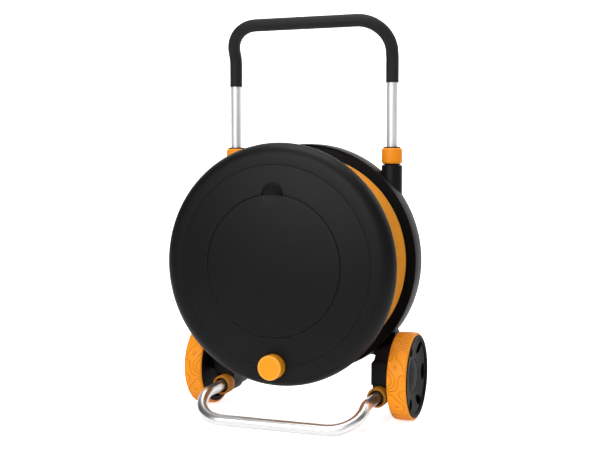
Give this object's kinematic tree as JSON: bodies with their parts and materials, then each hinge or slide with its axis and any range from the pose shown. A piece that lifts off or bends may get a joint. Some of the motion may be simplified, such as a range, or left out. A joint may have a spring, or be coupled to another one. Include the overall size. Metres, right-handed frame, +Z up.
{
  "type": "hose reel cart",
  "caption": "Wheeled garden hose reel with a domed front disc, side crank knob, lidded compartment, telescopic handle and bent tube foot.",
  "frame": {"origin": "on the ground, under the middle of the cart's bounding box", "axes": "+Z up; the domed front disc with the crank knob faces -Y; +X is the cart's side on the viewer's right, where the water inlet points; the handle columns and inlet are at +Y"},
  "size_m": [0.482, 0.286, 0.8119],
  "materials": {
    "moulded_black": "fine grained black moulding",
    "moulded_orange": "satin orange moulding",
    "grip_rubber": "soft matt black grip",
    "anodised_tube": "satin anodised tube",
    "zinc_steel": "zinc plated steel",
    "brass_fitting": "turned brass",
    "nylon_bush": "natural nylon",
    "seal_rubber": "black sealing rubber"
  },
  "bodies": {
    "frame": {"axle_cap_left": "zinc_steel", "axle_cap_right": "zinc_steel", "collet_lower_left": "moulded_black", "collet_lower_right": "moulded_black", "collet_upper_left": "moulded_black", "collet_upper_right": "moulded_black", "column_left": "moulded_black", "column_right": "moulded_black", "hub_screw_1": "zinc_steel", "hub_screw_2": "zinc_steel", "hub_screw_3": "zinc_steel", "inlet_connector": "moulded_orange", "inlet_elbow": "moulded_black", "inlet_seal": "seal_rubber", "rear_shell": "moulded_black", "reel_spindle": "nylon_bush", "shell_screw_high_left": "zinc_steel", "shell_screw_high_right": "zinc_steel", "shell_screw_low_left": "zinc_steel", "shell_screw_low_right": "zinc_steel", "spindle_nut": "brass_fitting", "spindle_washer": "zinc_steel", "wheel_axle_left": "zinc_steel", "wheel_axle_right": "zinc_steel"},
    "handle": {"handle_grip": "grip_rubber", "handle_plug_left": "moulded_black", "handle_plug_right": "moulded_black", "handle_tube": "anodised_tube"},
    "upper_collar_left": {"collar_upper_left": "moulded_orange"},
    "upper_collar_right": {"collar_upper_right": "moulded_orange"},
    "lower_collar_left": {"collar_lower_left": "moulded_orange"},
    "lower_collar_right": {"collar_lower_right": "moulded_orange"},
    "foot": {"foot_plug_left": "moulded_black", "foot_plug_right": "moulded_black", "foot_tube": "anodised_tube"},
    "wheel_left": {"hub_cap_left": "moulded_black", "tyre_left": "moulded_orange", "wheel_bush_left": "nylon_bush", "wheel_rim_left": "moulded_black"},
    "wheel_right": {"hub_cap_right": "moulded_black", "tyre_right": "moulded_orange", "wheel_bush_right": "nylon_bush", "wheel_rim_right": "moulded_black"},
    "reel": {"compartment_cup": "moulded_black", "crank_pin": "zinc_steel", "feed_pipe": "moulded_black", "front_disc": "moulded_black", "front_flange": "moulded_black", "hose_connector": "brass_fitting", "hose_drum": "moulded_orange", "rear_flange": "moulded_orange", "reel_bush_front": "nylon_bush", "reel_bush_rear": "nylon_bush", "swivel_housing": "moulded_black", "swivel_seal_front": "seal_rubber", "swivel_seal_rear": "seal_rubber"},
    "crank_knob_body": {"crank_knob": "moulded_orange"},
    "lid": {"compartment_lid": "moulded_black"}
  },
  "joints": [
    {"name": "handle_slide", "type": "slide", "parent": "frame", "child": "handle", "axis": [0, 0, 1], "range_m": [-0.12, 0.09]},
    {"name": "foot_slide", "type": "slide", "parent": "frame", "child": "foot", "axis": [0, 1, 0], "range_m": [-0.02, 0.028]},
    {"name": "upper_collar_left_twist", "type": "hinge", "parent": "frame", "child": "upper_collar_left", "pos_m": [-0.173, 0.09353, 0.5123], "axis": [0, 0, 1], "range_deg": [0, 60]},
    {"name": "upper_collar_right_twist", "type": "hinge", "parent": "frame", "child": "upper_collar_right", "pos_m": [0.173, 0.09353, 0.5123], "axis": [0, 0, 1], "range_deg": [0, 60]},
    {"name": "lower_collar_left_twist", "type": "hinge", "parent": "frame", "child": "lower_collar_left", "pos_m": [-0.169, 0.02973, 0.049], "axis": [0, -1, 0], "range_deg": [0, 60]},
    {"name": "lower_collar_right_twist", "type": "hinge", "parent": "frame", "child": "lower_collar_right", "pos_m": [0.169, 0.02973, 0.049], "axis": [0, -1, 0], "range_deg": [0, 60]},
    {"name": "wheel_left_spin", "type": "hinge", "parent": "frame", "child": "wheel_left", "pos_m": [-0.21515, 0.05503, 0.08794], "axis": [1, 0, 0], "continuous": true},
    {"name": "wheel_right_spin", "type": "hinge", "parent": "frame", "child": "wheel_right", "pos_m": [0.21515, 0.05503, 0.08794], "axis": [1, 0, 0], "continuous": true},
    {"name": "reel_spin", "type": "hinge", "parent": "frame", "child": "reel", "pos_m": [0, 0.09353, 0.317], "axis": [0, 1, 0], "continuous": true},
    {"name": "knob_spin", "type": "hinge", "parent": "reel", "child": "crank_knob_body", "pos_m": [0, -0.12, 0.124], "axis": [0, 1, 0], "continuous": true},
    {"name": "lid_lift", "type": "slide", "parent": "reel", "child": "lid", "axis": [0, -1, 0], "range_m": [0, 0.11]}
  ]
}
